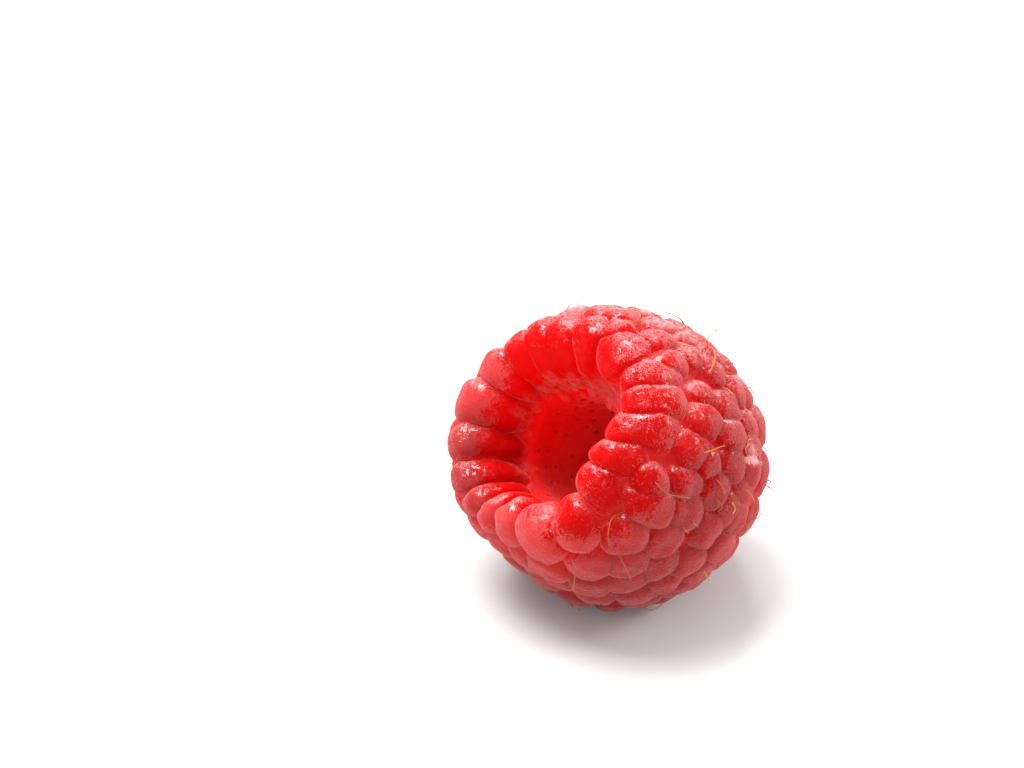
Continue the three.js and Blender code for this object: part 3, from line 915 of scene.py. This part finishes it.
def style_path(places, end_lift):
    """Points of a style's middle line, in the fruit's own frame."""
    turned = np.degrees(np.unwrap(np.radians([angle for angle, _ in places])))
    curve = np.stack([turned, [along for _, along in places]], axis=-1)
    curve = smooth_through(curve, CURVE_STEPS)
    angle, along = curve[np.linspace(0, len(curve) - 1, STEPS).round().astype(int)].T
    column = np.round(angle % 360 / 360 * COLUMNS).astype(int) % COLUMNS
    row = np.clip(np.searchsorted(rows, along), 0, len(rows) - 1)
    surface = -sunk[row, column]
    share = np.linspace(0, 1, STEPS)
    rise = (SET_IN + LIES_OVER) * np.sin(np.minimum(share * OUT_WITHIN, 1) * math.pi / 2)
    height = smoothed(surface, EVEN_WIDE) - SET_IN + rise + end_lift * share**2
    lowest = surface + JUST_OVER - ROOT_UNDER * (share == 0)
    height = smoothed(np.maximum(height, lowest), EVEN_FINE)
    return skin(angle, along) + skin_outward(angle, along) * height[:, None]


first_place = style_path(*all_styles[0])[0]
print("First style starts at", np.round(first_place, 1), "mm in the fruit's frame")

# %% Tubes along the paths
STYLE_THICK = 0.052  # radius at the root, mm
STYLE_SIDES = 6
THINNEST, THICKEST = 0.75, 1.15  # as shares of the usual thickness
TAPER = 0.45  # how much thinner it gets towards its end, as a share
KNOB, KNOB_PLACE, KNOB_LONG = 0.9, 0.97, 0.05  # how much thicker; the rest as shares of the length
ROUND_END = 0.5  # how thick the last ring is, as a share of what it would be
ANY_WAY = [0.3, 0.5, 0.8]  # a direction that no style starts in


def tube(path, tube_radii):
    """Points and faces of a closed tube along a path."""
    points, faces = [], []
    ahead = unit(np.gradient(path, axis=0))
    side = np.cross(ahead[0], ANY_WAY)
    for centre, direction, radius in zip(path, ahead, tube_radii):
        side = unit(side - direction * (side @ direction))
        other = np.cross(direction, side)
        for turn in np.arange(STYLE_SIDES) * math.tau / STYLE_SIDES:
            points.append(centre + radius * (side * math.cos(turn) + other * math.sin(turn)))
    for ring in range(len(path) - 1):
        start = ring * STYLE_SIDES
        for i in range(STYLE_SIDES):
            j = (i + 1) % STYLE_SIDES
            faces.append((start + i, start + j, start + STYLE_SIDES + j, start + STYLE_SIDES + i))
    faces.append(tuple(range(STYLE_SIDES))[::-1])
    faces.append(tuple(range(len(points) - STYLE_SIDES, len(points))))
    return np.array(points), faces


share = np.linspace(0, 1, STEPS)
style_points, style_faces, ages = [], [], []
for number, (places, end_lift) in enumerate(all_styles):
    thick = STYLE_THICK * random.uniform(THINNEST, THICKEST)
    tube_radii = thick * (1 - TAPER * share + KNOB * bell((share - KNOB_PLACE) / KNOB_LONG))
    tube_radii[-1] *= ROUND_END
    points, faces = tube(style_path(places, end_lift), tube_radii)
    style_faces += [tuple(number * len(points) + i for i in face) for face in faces]
    style_points.append(points)
    ages.append(np.full(len(points), random.random()))
laid = lay_down(np.concatenate(style_points))
laid[:, 2] = np.maximum(laid[:, 2], FLOOR_GAP)
to_end = np.tile(np.repeat(share, STYLE_SIDES), len(all_styles))
styles = new_piece("styles", laid, style_faces, {"age": np.concatenate(ages), "to_end": to_end})
styles.data.shade_smooth()
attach(styles, "root")
print(len(styles.data.polygons), "faces in the styles")

# %% [markdown]
# ## What a dry style looks like
# It is a stalk of dry plant tissue, like straw: gold where it is fresh, chestnut where it is old,
# with a dark knob. Fine mottling runs over it, and it has a dull gloss like straw has.

# %% Straw
STRAW_IOR, STRAW_ROUGH = 1.5, 0.45
STRAW_MOTTLE, MOTTLE_RELIEF = 0.25, 0.02  # size and height, mm
MOTTLE_BEGINS, MOTTLE_FULL, MOTTLE_SHARE = 0.5, 0.75, 0.5
KNOB_BEGINS = 0.9  # as a share of the length
style_material, tree, shader, place = new_material("dry_straw")
age = add_node(tree, "Attribute", {}, out="Fac", attribute_name="age")
to_end = add_node(tree, "Attribute", {}, out="Fac", attribute_name="to_end")
mottle = add_node(tree, "TexNoise", {"Vector": place, "Scale": 1 / STRAW_MOTTLE, "Detail": 2})
knob = add_node(tree, "MapRange", ramp(to_end, KNOB_BEGINS, 1), **SMOOTH)
spots = ramp(mottle, MOTTLE_BEGINS, MOTTLE_FULL, 0, MOTTLE_SHARE)
spots = add_node(tree, "MapRange", spots, **SMOOTH)
straw_layers = [(age, "#a0521e"), (knob, "#6b4a22"), (spots, "#7a4a1c")]
tree.links.new(glazed(tree, linear("#d88f30"), straw_layers), shader.inputs["Base Color"])
relief = add_node(tree, "Bump", {"Height": mottle, "Distance": MOTTLE_RELIEF * MM, "Strength": 1})
tree.links.new(relief, shader.inputs["Normal"])
shader.inputs["Roughness"].default_value = STRAW_ROUGH
shader.inputs["IOR"].default_value = STRAW_IOR
styles.data.materials.append(style_material)
print(len(tree.nodes), "nodes in the straw")

# %% [markdown]
# ## Camera
# The fruit is seen from above its open side, from about as near as a close-up lens would stand. The
# camera is placed by two angles round the fruit's middle and then aimed a little beside it, rather
# than shifted, so that every other view frames the fruit in the same way.

# %% The camera
CAMERA_TURN, CAMERA_RISE = 48.85, 33.0  # degrees from -Y towards +X, and above the floor
CAMERA_AWAY = 0.300  # metres from the fruit's middle
LENS, SENSOR = 143.4, 36  # mm
NEAREST = 0.01  # metres; nothing nearer to the lens is drawn
AIM_LEFT, AIM_UP = 0.00787, 0.00551  # how far beside the middle it looks, metres

turn, rise = math.radians(CAMERA_TURN), math.radians(CAMERA_RISE)
level = Vector((math.sin(turn), -math.cos(turn), 0))
towards = level * math.cos(rise) + Vector((0, 0, math.sin(rise)))
right = Vector((math.cos(turn), math.sin(turn), 0))
middle = Vector(MIDDLE * MM)


def stand(name, data, place, look_at):
    """An object at a place, turned so that it looks at another place."""
    thing = bpy.data.objects.new(name, data)
    bpy.context.collection.objects.link(thing)
    thing.location = place
    thing.rotation_euler = (look_at - Vector(place)).to_track_quat("-Z", "Y").to_euler()
    return thing


lens = bpy.data.cameras.new("camera")
lens.lens, lens.sensor_width, lens.clip_start = LENS, SENSOR, NEAREST
aim = middle - right * AIM_LEFT + towards.cross(right) * AIM_UP
bpy.context.scene.camera = stand("camera", lens, middle + towards * CAMERA_AWAY, aim)
print("Camera at", [round(v, 3) for v in bpy.context.scene.camera.location])

# %% [markdown]
# ## A plain table
# The fruit lies on a sheet of smooth white card, matt and pulpy, so it has no gloss but a faint
# grain of fibres. It also glows by a very little, as a lit table does under a thin sheet, which
# keeps the shadow from going black.

# %% White card
FLOOR_HALF = 0.45  # metres
CARD_FIBRES = 0.4  # mm
floor_mesh = bpy.data.meshes.new("floor")
corner_ways = ((-1, -1), (1, -1), (1, 1), (-1, 1))
floor_corners = [(x * FLOOR_HALF, y * FLOOR_HALF, 0) for x, y in corner_ways]
floor_mesh.from_pydata(floor_corners, [], [(0, 1, 2, 3)])
floor = bpy.data.objects.new("floor", floor_mesh)
bpy.context.collection.objects.link(floor)
card_material, tree, shader, place = new_material("white_card")
fibres = add_node(tree, "TexNoise", {"Vector": place, "Scale": 1 / CARD_FIBRES, "Detail": 3})
colour = glazed(tree, linear("#dadada"), [(fibres, "#dedede")])
tree.links.new(colour, shader.inputs["Base Color"])
for name, value in {
    "Roughness": 0.7, "Emission Color": (1, 1, 1, 1), "Emission Strength": 0.05,
}.items():
    shader.inputs[name].default_value = value
floor_mesh.materials.append(card_material)
print("Floor of", 2 * FLOOR_HALF, "m")

# %% [markdown]
# ## Light
# A wide soft box hangs over the fruit, to the left and a little behind it, so the rim is lit
# through and the shadow falls under the near side. A small lamp beside it puts the glints on the
# wet spots, and one low at the back lights the far flank. The room is white and dimmer on the left.

# %% Lamps and room
LAMPS = [  # name, place in metres, size in metres, watts
    ("soft_box", (-0.118, -0.062, 0.375), 0.25, 2.3),
    ("glint", (-0.10, 0.12, 0.32), 0.06, 0.26),
    ("far_flank", (0.17, 0.27, 0.17), 0.12, 0.54),
]
ROOM_DIM, ROOM_BRIGHT = 0.5, 0.82
DIM_UP_TO, BRIGHT_FROM = -0.7, 0.3  # how far to the right, from -1 to 1
for name, place, size, watts in LAMPS:
    lamp = bpy.data.lights.new(name, "AREA")
    lamp.shape, lamp.size, lamp.energy = "SQUARE", size, watts
    stand(name, lamp, place, middle)
room = bpy.data.worlds.new("room")
room.use_nodes = True
tree = room.node_tree
direction = add_node(tree, "TexCoord", {}, out="Generated")
inputs = {0: direction, 1: tuple(right)}
rightness = add_node(tree, "VectorMath", inputs, out="Value", operation="DOT_PRODUCT")
strength = ramp(rightness, DIM_UP_TO, BRIGHT_FROM, ROOM_DIM, ROOM_BRIGHT)
strength = add_node(tree, "MapRange", strength, **SMOOTH)
tree.links.new(strength, tree.nodes["Background"].inputs["Strength"])
tree.nodes["Background"].inputs["Color"].default_value = (1, 1, 1, 1)
bpy.context.scene.world = room
bpy.context.scene.view_settings.view_transform = "Standard"
print(len(LAMPS), "lamps")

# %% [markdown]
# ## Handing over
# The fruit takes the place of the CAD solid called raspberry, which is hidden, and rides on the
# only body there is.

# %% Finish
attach(fruit, "root")
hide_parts("raspberry")
